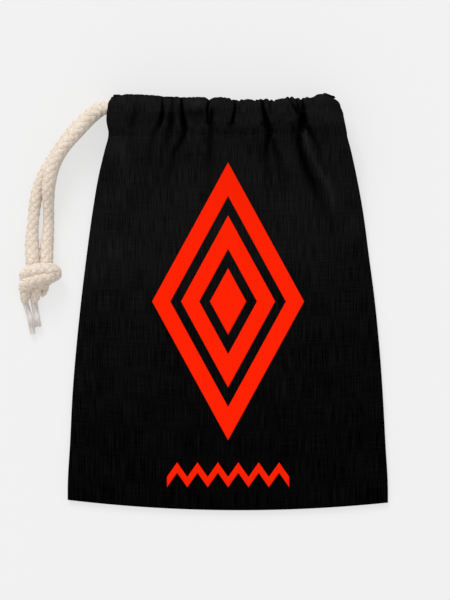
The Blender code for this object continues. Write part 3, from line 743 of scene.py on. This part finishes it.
def curve_through(route, closed=False):
    """Closely spaced places on a smooth curve through the route's points."""
    knots = np.array(route, float)
    if closed:
        knots = np.vstack([knots[-1:], knots, knots[:2]])
    else:
        knots = np.vstack([2 * knots[:1] - knots[1:2], knots, 2 * knots[-1:] - knots[-2:-1]])
    s = np.linspace(0, 1, CURVE_STEPS, endpoint=False)[:, None]
    stretches = [between(a, b, c, d, s) for a, b, c, d in zip(knots, knots[1:], knots[2:], knots[3:])]
    return np.vstack(stretches + [knots[-2:-1]])


def distance_along(places):
    return np.concatenate([[0.0], np.cumsum(np.linalg.norm(np.diff(places, axis=0), axis=1))])


def evenly(places, spacing):
    """The same curve in equal steps near to a spacing."""
    along = distance_along(places)
    wanted = np.linspace(0, along[-1], max(3, round(along[-1] / spacing)) + 1)
    return np.stack([np.interp(wanted, along, places[:, axis]) for axis in range(3)], axis=-1)


def headings(places, closed=False):
    """The curve's direction at each place. A closed curve's last place is its first one."""
    ahead = np.roll(places, -1, axis=0)
    behind = np.roll(places, 1, axis=0)
    if closed:
        ahead[-1] = places[1]
        behind[0] = places[-2]
    else:
        ahead[-1] = 2 * places[-1] - places[-2]
        behind[0] = 2 * places[0] - places[1]
    return unit(ahead - behind)


def unit(directions):
    return directions / np.linalg.norm(directions, axis=1)[:, None]


def normals_along(places, closed=False):
    """Two directions across the curve at each place, which turn no more than the curve does."""
    tangents = headings(places, closed)
    normal = np.cross(tangents[0], (0.0, 0.0, 1.0))
    if np.linalg.norm(normal) < 0.1:
        normal = np.cross(tangents[0], (1.0, 0.0, 0.0))
    normals = []
    for tangent in tangents:
        normal = normal - tangent * (normal @ tangent)
        normal = normal / np.linalg.norm(normal)
        normals.append(normal)
    normals = np.array(normals)
    others = np.cross(tangents, normals)
    if closed:
        slip = math.atan2(normals[-1] @ others[0], normals[-1] @ normals[0])
        turn = -slip * np.linspace(0, 1, len(places))[:, None]
        normals = normals * np.cos(turn) + others * np.sin(turn)
    return normals, np.cross(tangents, normals)


def tube_points(places, radii, sides, closed=False):
    """Rings of points round the places."""
    normals, others = normals_along(places, closed)
    angles = np.linspace(0, 2 * math.pi, sides, endpoint=False)[None, :, None]
    ring = normals[:, None] * np.cos(angles) + others[:, None] * np.sin(angles)
    return places[:, None] + ring * np.broadcast_to(radii, (len(places),))[:, None, None]


class MeshParts:
    """Points, faces and their texture places, gathered from several parts of one mesh."""

    def __init__(self):
        self.points = []
        self.faces = []
        self.uvs = []
        self.count = 0

    def add_tube(self, rings, along, closed=False):
        """A tube through the rings, which gets a cap at each end where it isn't closed on itself."""
        rows, sides = rings.shape[:2]
        first = self.count
        self.faces += grid_faces(rows, sides, first, wrap=True)[:, ::-1].tolist()
        around = np.linspace(0, 1, sides, endpoint=False)
        pairs = np.broadcast_arrays(around[None, :], along[:, None])
        self.uvs.append(np.stack(pairs, axis=-1).reshape(-1, 2))
        self.points.append(rings.reshape(-1, 3))
        self.count += rows * sides
        if not closed:
            self.add_cap(rings[0], along[0], first, 1)
            self.add_cap(rings[-1], along[-1], first + (rows - 1) * sides, -1)

    def add_cap(self, ring, along, start, way):
        """Triangles from a ring to its middle."""
        corners = start + np.arange(len(ring))
        for corner, following in zip(corners.tolist(), np.roll(corners, -1).tolist()):
            self.faces.append([corner, following, self.count][::way])
        self.points.append(ring.mean(axis=0)[None])
        self.uvs.append(np.array([[0.5, along]]))
        self.count += 1

    def build(self, name):
        obj = new_object(name, np.vstack(self.points), self.faces, np.vstack(self.uvs))
        obj.data.set_sharp_from_angle(angle=SHARP_EDGE)
        return obj


def carrier_rings(centres, outward, thick, closed):
    """Flat rings round a carrier's centre line, with its broad face outward."""
    sideways = unit(np.cross(headings(centres, closed), outward))
    ring = np.linspace(0, 2 * math.pi, CARRIER_SIDES, endpoint=False)[None, :, None]
    flat = outward[:, None] * np.cos(ring) * CARRIER_THICK + sideways[:, None] * np.sin(ring) * CARRIER_WIDE
    return centres[:, None] + flat * thick[:, :, None] / 2


def braid(parts, route, thick, closed=False, fullness=None, step=BRAID_STEP):
    """Adds a round braid along the route: flat carriers both ways round a core."""
    places = evenly(curve_through(route, closed), step)
    along = np.linspace(0, distance_along(places)[-1], len(places))
    leads = max(1, round(along[-1] / BRAID_LEAD)) if closed else along[-1] / BRAID_LEAD
    phase = 2 * math.pi * leads * along[:, None] / along[-1]
    share = smooth_value(fullness, places[:, 1]) if fullness else np.ones(len(places))
    thick = thick * share[:, None]
    normals, others = normals_along(places, closed)
    parts.add_tube(tube_points(places, thick[:, 0] * BRAID_CORE, CORE_SIDES, closed), along, closed)
    for way in (1, -1):
        rise = thick * (0.5 - CARRIER_THICK / 2 - OVER_UNDER + way * OVER_UNDER * np.cos(CARRIERS * phase))
        for carrier in range(CARRIERS):
            around = way * phase + 2 * math.pi * carrier / CARRIERS
            outward = normals * np.cos(around) + others * np.sin(around)
            rings = carrier_rings(places + outward * rise, outward, thick, closed)
            parts.add_tube(rings, along + CARRIER_SHIFT * carrier, closed)
    return places


def braided(name, route, thick, fullness=None):
    parts = MeshParts()
    places = braid(parts, route, thick, fullness=fullness)
    return parts.build(name), places


def knot():
    """Two closed turns of cord, and a loop's end that shows below them."""
    parts = MeshParts()
    for route in (UPPER_TURN, LOWER_TURN):
        braid(parts, route, TURN_CORD, closed=True, step=TURN_STEP)
    braid(parts, STUB, STUB_CORD)
    return parts.build("knot_turns")


def hidden_y(x):
    """The hidden cord's height, which sinks where the mouth's edge dips."""
    return CORD_Y + HIDDEN_DIP * min(float(smooth_value(MOUTH_EDGE, x)), 0.0)


def round_turn(x, angle):
    """A place on the hidden cord's turn from the front to the back, at an angle from the front."""
    return (x + TURN_RADIUS * math.sin(angle), CORD_Y, MIDDLE_Z + TURN_RADIUS * math.cos(angle))


def hidden_route():
    """The stretch inside the casing: in at the front, round the right side seam, and out at the back."""
    reach = TURN_RADIUS + CORD_SEAM
    left = float(table_value(SIDES, "left", CORD_Y))
    right = float(table_value(SIDES, "right", CORD_Y)) - reach
    start = left + reach * math.sin(FRONT_TURN)
    route = [round_turn(start, -FRONT_TURN * share) for share in HIDDEN_ENTRY]
    route += [(x, hidden_y(x), FRONT_CORD_Z) for x in np.linspace(start, right, HIDDEN_STEPS)]
    route += [round_turn(right, math.pi * step / HIDDEN_TURN_STEPS) for step in range(1, HIDDEN_TURN_STEPS)]
    back = np.linspace(right, left + HIDDEN_EXIT, HIDDEN_STEPS)
    return route + [(x, hidden_y(x), BACK_CORD_Z) for x in back]


def tip(name, route, thick):
    """A tail's end wound in clear tape: lengthwise folds under a thin smooth sleeve, cut off flat."""
    places = evenly(curve_through(route), TIP_STEP)
    along = np.linspace(0, distance_along(places)[-1], len(places))
    angles = np.linspace(0, 2 * math.pi, TIP_SIDES, endpoint=False)
    folds = 1 + sum(depth * np.cos(count * angles + phase) for depth, count, phase in TIP_FOLDS)[None, :]
    folds = folds * (1 + TIP_WAVE * np.sin(along * TIP_WAVE_RATE)[:, None])
    rings = tube_points(places, thick / 2, TIP_SIDES)
    parts = MeshParts()
    parts.add_tube(places[:, None] + (rings - places[:, None]) * folds[..., None], along)
    return parts.build(name)


def surface_of(obj):
    """A lookup of the object's outer face."""
    return BVHTree.FromObject(obj, bpy.context.evaluated_depsgraph_get())


def dropped(tree, x, y):
    """The height in millimetres of the face below each place, seen from above."""
    hits = [tree.ray_cast(Vector((a * MM, b * MM, ABOVE * MM)), Vector((0, 0, -1)))[0] for a, b in zip(x, y)]
    return np.array([hit.z / MM if hit else 0.0 for hit in hits])


def stitches(name, tree):
    """A row of thread stitches along the front's stitch line, each with its ends drawn into the cloth."""
    parts = MeshParts()
    bow = np.sin(np.linspace(0, math.pi, STITCH_POINTS)) ** 0.5
    for i in range(STITCH_COUNT):
        x = STITCH_FIRST + i * STITCH_SPACING + STITCH_SLIP * math.sin(2.3 * i)
        xs = np.linspace(x, x + STITCH, STITCH_POINTS)
        ys = stitch_y(xs) + STITCH_STRAY * math.sin(1.7 * i) + STITCH_SLANT * np.cos(3.1 * i + xs)
        zs = dropped(tree, xs, ys)
        zs = np.minimum(zs, np.median(zs) + STITCH_STEP) + STITCH_LIFT - THREAD * (1 - bow)
        radii = THREAD / 2 * (THREAD_END + (1 - THREAD_END) * bow)
        parts.add_tube(tube_points(np.stack([xs, ys, zs], axis=-1), radii, THREAD_SIDES), xs)
    return parts.build(name)


def patch(corners):
    """A grid of places that fills a four-cornered figure."""
    a, b, c, d = (np.array(corner, float) for corner in corners)
    across = max(2, math.ceil(max(np.linalg.norm(b - a), np.linalg.norm(c - d)) / INK_STEP) + 1)
    down = max(2, math.ceil(max(np.linalg.norm(d - a), np.linalg.norm(c - b)) / INK_STEP) + 1)
    s = np.linspace(0, 1, across)[None, :, None]
    t = np.linspace(0, 1, down)[:, None, None]
    return (a * (1 - s) + b * s) * (1 - t) + (d * (1 - s) + c * s) * t


def diamond(share):
    """The print's diamond at a share of its full size."""
    y = (PRINT_TOP + PRINT_BOTTOM) / 2
    half_width = PRINT_HALF_WIDTH * share
    half_height = (PRINT_TOP - PRINT_BOTTOM) / 2 * share
    left, right = PRINT_X - half_width, PRINT_X + half_width
    return [(left, y), (PRINT_X, y - half_height), (right, y), (PRINT_X, y + half_height)]


def hollow_diamond(share):
    """The four sides of a hollow diamond, as patches that meet in mitres."""
    half_height = (PRINT_TOP - PRINT_BOTTOM) / 2
    stroke = PRINT_STROKE * math.hypot(PRINT_HALF_WIDTH, half_height) / (PRINT_HALF_WIDTH * half_height)
    outer = diamond(share)
    inner = diamond(share - stroke)
    return [patch([outer[i], outer[i - 3], inner[i - 3], inner[i]]) for i in range(4)]


def print_figures():
    """Nested diamonds: two hollow ones round a small full one."""
    patches = [side for share in PRINT_SHARES for side in hollow_diamond(share)]
    return patches + [patch(diamond(PRINT_CENTRE_SHARE))]


def print_band():
    """A running zigzag whose strokes meet in mitres."""
    step = (BAND_RIGHT - BAND_LEFT) / (2 * BAND_PEAKS)
    half = BAND_STROKE / 2 * math.hypot(step, BAND_HIGH - BAND_LOW) / step
    ends = (BAND_LOW + half, BAND_HIGH - half)
    patches = []
    for i in range(2 * BAND_PEAKS):
        x = BAND_LEFT + i * step
        after = x + step
        start, end = ends[i % 2], ends[(i + 1) % 2]
        patches.append(patch([(x, start - half), (after, end - half), (after, end + half), (x, start + half)]))
    return patches


def ink(name, patches, tree):
    """The print's film, laid on the cloth, with each point that its patches share made once."""
    points, faces, count = [], [], 0
    for places in patches:
        flat = places.reshape(-1, 2)
        points.append(np.column_stack([flat, dropped(tree, flat[:, 0], flat[:, 1]) + INK_LIFT]))
        faces.append(grid_faces(*places.shape[:2], count))
        count += len(flat)
    points = np.vstack(points)
    _, first, index = np.unique(np.round(points, 3), axis=0, return_index=True, return_inverse=True)
    faces = index.reshape(-1)[np.vstack(faces)].tolist()
    obj = new_object(name, points[first], faces, points[first, :2])
    thicken(obj, INK_THICK, outward=True)
    return obj


class Look:
    """A material in the making: its shader, and the nodes that colour it and give it relief."""

    def __init__(self, name, **values):
        """Constant values are set on the shader's own sockets."""
        self.material = bpy.data.materials.new(name)
        self.material.use_nodes = True
        self.tree = self.material.node_tree
        self.shader = self.tree.nodes["Principled BSDF"]
        for key, value in values.items():
            self.feed(self.shader.inputs[key.replace("_", " ")], value)

    def feed(self, socket, value):
        """Links another node's output into the socket, or sets its value."""
        if isinstance(value, bpy.types.NodeSocket):
            self.tree.links.new(value, socket)
        else:
            socket.default_value = (*value, 1) if socket.type == "RGBA" else value

    def node(self, kind, inputs=None, **settings):
        """A shader node with its settings, and with a value or another node's output at each input."""
        made = self.tree.nodes.new(kind)
        for name, value in settings.items():
            setattr(made, name, value)
        for name, value in (inputs or {}).items():
            self.feed(made.inputs[name], value)
        return made

    def calc(self, operation, *values):
        return self.node("ShaderNodeMath", dict(enumerate(values)), operation=operation).outputs[0]

    def plus(self, first, second):
        return self.calc("ADD", first, second)

    def minus(self, first, second):
        return self.calc("SUBTRACT", first, second)

    def times(self, first, second):
        return self.calc("MULTIPLY", first, second)

    def blend(self, factor, first, second):
        """A colour between two, by a factor."""
        mix = self.node("ShaderNodeMix", {"Factor": factor, 6: first, 7: second}, data_type="RGBA")
        return mix.outputs[2]

    def on_cloth(self):
        """The cloth's own coordinates in millimetres: both at once, across and along."""
        uv = self.node("ShaderNodeUVMap", uv_map="cloth").outputs["UV"]
        parts = self.node("ShaderNodeSeparateXYZ", {"Vector": uv})
        return uv, parts.outputs["X"], parts.outputs["Y"]

    def place(self):
        return self.node("ShaderNodeTexCoord").outputs["Object"]

    def noise(self, vector, scale, detail, stretch=(1, 1, 1)):
        moved = self.node("ShaderNodeMapping", {"Vector": vector, "Scale": stretch}).outputs["Vector"]
        inputs = {"Vector": moved, "Scale": scale, "Detail": detail}
        return self.node("ShaderNodeTexNoise", inputs).outputs["Fac"]

    def ramp(self, value, low, high, start=0.0, end=1.0):
        """The value carried from one range to another, and held at its ends."""
        limits = {"Value": value, "From Min": low, "From Max": high, "To Min": start, "To Max": end}
        return self.node("ShaderNodeMapRange", limits).outputs[0]

    def finish(self, colour, relief=None, strength=0.0, depth=0.0):
        """Gives the shader its colour and its relief, whose depth is in metres."""
        self.feed(self.shader.inputs["Base Color"], colour)
        if relief is not None:
            bump = self.node("ShaderNodeBump", {"Height": relief, "Strength": strength, "Distance": depth})
            self.feed(self.shader.inputs["Normal"], bump.outputs[0])
        return self.material


def weave_height(look, across, along):
    """The height of a plain weave: warp and weft threads over each other in turn."""
    warp = look.calc("SINE", look.times(across, math.pi / WEAVE_PITCH))
    weft = look.calc("SINE", look.times(along, math.pi / WEAVE_PITCH))
    over = look.calc("MULTIPLY_ADD", look.times(warp, weft), 0.9, 0.5)
    over = look.node("ShaderNodeClamp", {"Value": over}).outputs[0]
    warp_high = look.times(look.calc("ABSOLUTE", warp), over)
    return look.plus(warp_high, look.times(look.calc("ABSOLUTE", weft), look.minus(1.0, over)))


def twisted_ply(look, around, along):
    """Rounded strands that wind along a thread, by how far a place is turned round it and along it."""
    twist = look.plus(around, along)
    return look.calc("ABSOLUTE", look.calc("SINE", look.times(twist, math.pi)))


def painted_light_falloff(look, across, along):
    """Painted light on the black: its tone from the base to the mouth, paler towards the mouth and the left.
    The stops' alpha carries their exact values.
    """
    place = look.plus(along, look.times(across, PAINTED_LIGHT_TILT))
    fade = look.node("ShaderNodeValToRGB", {"Fac": look.ramp(place, 0.0, PAINTED_LIGHT_LENGTH)})
    elements = fade.color_ramp.elements
    elements.remove(elements[-1])
    for i, (share, value) in enumerate(PAINTED_LIGHT_STOPS):
        element = elements.new(share) if i else elements[0]
        element.position = share
        element.color = (value, value, value, value)
    return fade.outputs["Alpha"]


def cloth_material():
    """Black plain-woven cotton: slubby threads and darker gaps, a painted highlight on the crests and painted
    shade in the gathers, and painted light that makes it paler near the mouth.
    """
    look = Look("black_cotton", Roughness=0.95, Specular_IOR_Level=0.0)
    uv, across, along = look.on_cloth()
    drift = look.times(look.minus(look.noise(uv, 0.12, 2.0), 0.5), 0.8)
    height = weave_height(look, look.plus(across, drift), along)
    warp_slub = look.noise(uv, 1.0, 3.0, stretch=(2.3, 0.075, 1.0))
    weft_slub = look.noise(uv, 1.0, 2.0, stretch=(0.07, 1.7, 1.0))
    threads = look.plus(look.times(warp_slub, 0.75), look.times(weft_slub, 0.25))
    tone = look.ramp(threads, 0.36, 0.66, 0.25, 0.95)
    tone = look.plus(tone, look.times(look.minus(height, 0.6), 0.3))
    tone = look.plus(tone, look.times(look.minus(look.noise(uv, 0.045, 3.0), 0.5), 0.45))
    # fade is the painted light, paler towards the mouth and the left; it also sets how strongly the slubs show
    fade = painted_light_falloff(look, across, along)
    streak = look.calc("MULTIPLY_ADD", fade, STREAK_SHARE, STREAK_ALWAYS)
    streak = look.times(look.minus(tone, STREAK_MEAN), streak)
    # Painted shading of the folds: painted shade darkens the gathers, and a painted highlight pales the ridges
    painted_fold_shading = look.node("ShaderNodeAttribute", attribute_name="painted_fold_shading").outputs["Fac"]
    tone = look.calc("MULTIPLY_ADD", fade, STREAK_MEAN, streak)
    tone = look.times(tone, look.ramp(painted_fold_shading, 0.0, 2.0, 0.12, 1.88))
    relief = look.plus(height, look.times(warp_slub, 0.9))
    relief = look.plus(relief, look.times(look.noise(uv, 3.0, 2.0), 0.35))
    return look.finish(look.blend(tone, BLACK, PALE_BLACK), relief, strength=0.45, depth=0.00022)


def ink_material():
    """Red ink pressed into the cloth: the weave shows through, and a few thread gaps stay bare."""
    look = Look("red_ink", Roughness=0.7, Specular_IOR_Level=0.01)
    uv, across, along = look.on_cloth()
    height = weave_height(look, across, along)
    warp_slub = look.noise(uv, 1.0, 3.0, stretch=(1.7, 0.09, 1.0))
    gaps = look.minus(look.times(look.noise(uv, 0.5, 3.0), 0.42), height)
    colour = look.blend(warp_slub, INK, PALE_INK)
    colour = look.blend(look.ramp(gaps, -0.08, 0.12, 0.0, 0.65), colour, BARE_THREAD)
    relief = look.plus(height, look.times(warp_slub, 0.5))
    return look.finish(colour, relief, strength=0.4, depth=0.00016)


def cord_material():
    """Natural cotton yarn: plied threads along each carrier, with husk flecks and worn soft ends."""
    look = Look(
        "natural_cotton", Roughness=0.92, Specular_IOR_Level=0.15, Sheen_Weight=0.25, Sheen_Roughness=0.6
    )
    _, around, along = look.on_cloth()
    place = look.place()
    ply = twisted_ply(look, look.times(around, 3.0), look.times(along, 0.55))
    base = look.blend(look.noise(place, 160.0, 3.0), COTTON, PALE_COTTON)
    # Painted shade: the grooves between the plies are painted darker
    base = look.blend(look.times(look.minus(1.0, ply), 0.28), base, COTTON_GROOVE_SHADE)
    husk = look.ramp(look.noise(place, 900.0, 1.0), 0.71, 0.76, 0.0, 0.6)
    relief = look.plus(look.times(ply, 0.8), look.times(look.noise(place, 2600.0, 3.0), 0.7))
    return look.finish(look.blend(husk, base, HUSK), relief, strength=0.6, depth=0.00018)


def tape_material():
    """Clear tape wound on cotton: a smooth skin over lengthwise pinkish-grey streaks."""
    look = Look("clear_tape", Roughness=0.38, Specular_IOR_Level=0.45, Coat_Weight=0.6, Coat_Roughness=0.18)
    streaks = look.ramp(look.noise(look.on_cloth()[0], 1.0, 3.0, stretch=(14.0, 0.22, 1.0)), 0.35, 0.65)
    glare = look.times(look.noise(look.place(), 420.0, 2.0), 0.35)
    colour = look.blend(glare, look.blend(streaks, TAPE_FOLD, TAPE), TAPE_GLARE)
    return look.finish(colour, streaks, strength=0.5, depth=0.0002)


def thread_material():
    """Black sewing thread, a little shinier than the cloth, with its own twist, whose crests are painted paler
    as a painted sheen.
    """
    look = Look("black_thread", Roughness=0.8, Specular_IOR_Level=0.02)
    _, around, along = look.on_cloth()
    ply = twisted_ply(look, around, look.times(along, 1.6))
    # Painted sheen: the twist's crests are painted paler than the thread's black
    return look.finish(look.blend(ply, THREAD_DARK, THREAD_SHEEN), ply, strength=0.6, depth=0.0001)


def floor_material():
    look = Look(
        "pale_floor", Roughness=0.9, Specular_IOR_Level=0.0,
        Emission_Color=WHITE, Emission_Strength=FLOOR_GLOW,
    )
    return look.finish(look.blend(look.noise(look.place(), 6.0, 2.0), FLOOR_DARK, FLOOR_PALE))


def camera():
    data = bpy.data.cameras.new("camera")
    data.lens = CAMERA_LENS
    data.sensor_width = SENSOR
    data.clip_end = 20.0
    bpy.context.scene.camera = placed("camera", data, (*LOOK_AT, FRAME_HEIGHT * CAMERA_LENS / SENSOR))


def floor():
    mesh = bpy.data.meshes.new("floor")
    corners = [(-FLOOR_HALF, -FLOOR_HALF, 0), (FLOOR_HALF, -FLOOR_HALF, 0), (FLOOR_HALF, FLOOR_HALF, 0)]
    mesh.from_pydata(corners + [(-FLOOR_HALF, FLOOR_HALF, 0)], [], [(0, 1, 2, 3)])
    mesh.materials.append(floor_material())
    placed("floor", mesh)


def studio():
    """An even white world, and a large soft light that faces the pouch."""
    scene = bpy.context.scene
    scene.view_settings.view_transform = "Standard"
    scene.world = bpy.data.worlds.new("studio")
    scene.world.use_nodes = True
    background = scene.world.node_tree.nodes["Background"]
    background.inputs["Color"].default_value = (*WHITE, 1)
    background.inputs["Strength"].default_value = WORLD_STRENGTH
    data = bpy.data.lights.new("key", "AREA")
    data.size = LIGHT_SIZE
    data.energy = LIGHT_POWER
    light = placed("key", data, LIGHT_PLACE)
    light.rotation_euler = (-Vector(LIGHT_PLACE)).to_track_quat("-Z", "Y").to_euler()


def dress(obj, material, slot, *solids):
    """Gives a piece its material and its place on the pouch, and names the solids it replaces. The slot is not
    used.
    """
    obj.data.materials.append(material)
    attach(obj, "root")
    if solids:
        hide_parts(*solids)
    return obj


def free_strand(strand, cotton, tape):
    """A strand from the casing to the knot, with its tail and its taped tip below the knot."""
    cord, path = braided("cord_" + strand.name, strand.route, CORD, strand.fullness)
    tail, _ = braided(f"tail_of_{strand.name}_strand", strand.tail, TAIL, TAIL_FULLNESS)
    end = tip(f"tape_of_{strand.name}_strand", strand.tip, strand.tip_thick)
    dress(cord, cotton, "cord", "free_cord_" + strand.name)
    dress(tail, cotton, "cord", "tail_" + strand.tail_side)
    dress(end, tape, "tape", "tip_" + strand.tail_side)


def drawcord():
    """The whole cord: the knot, the stretch inside the casing and the two free strands."""
    cotton = cord_material()
    tape = tape_material()
    turns = dress(knot(), cotton, "cord", "knot")
    hidden, _ = braided("cord_in_casing", hidden_route(), HIDDEN_CORD)
    dress(hidden, cotton, "cord", "hidden_cord")
    for strand in STRANDS:
        free_strand(strand, cotton, tape)


def pouch():
    """The two cloths, and the stitching and the print on the front one."""
    black = cloth_material()
    front = dress(cloth("front", FRONT_GRID), black, "cloth", "front_panel", "front_casing")
    back = dress(cloth("back", BACK_GRID), black, "cloth", "back_panel", "back_casing")
    tree = surface_of(front)
    seam = dress(stitches("front_stitches", tree), thread_material(), "thread")
    red = ink_material()
    figures = dress(ink("print_figures", print_figures(), tree), red, "print")
    band = dress(ink("print_band", print_band(), tree), red, "print")


def main():
    camera()
    drawcord()
    pouch()
    floor()
    studio()


main()
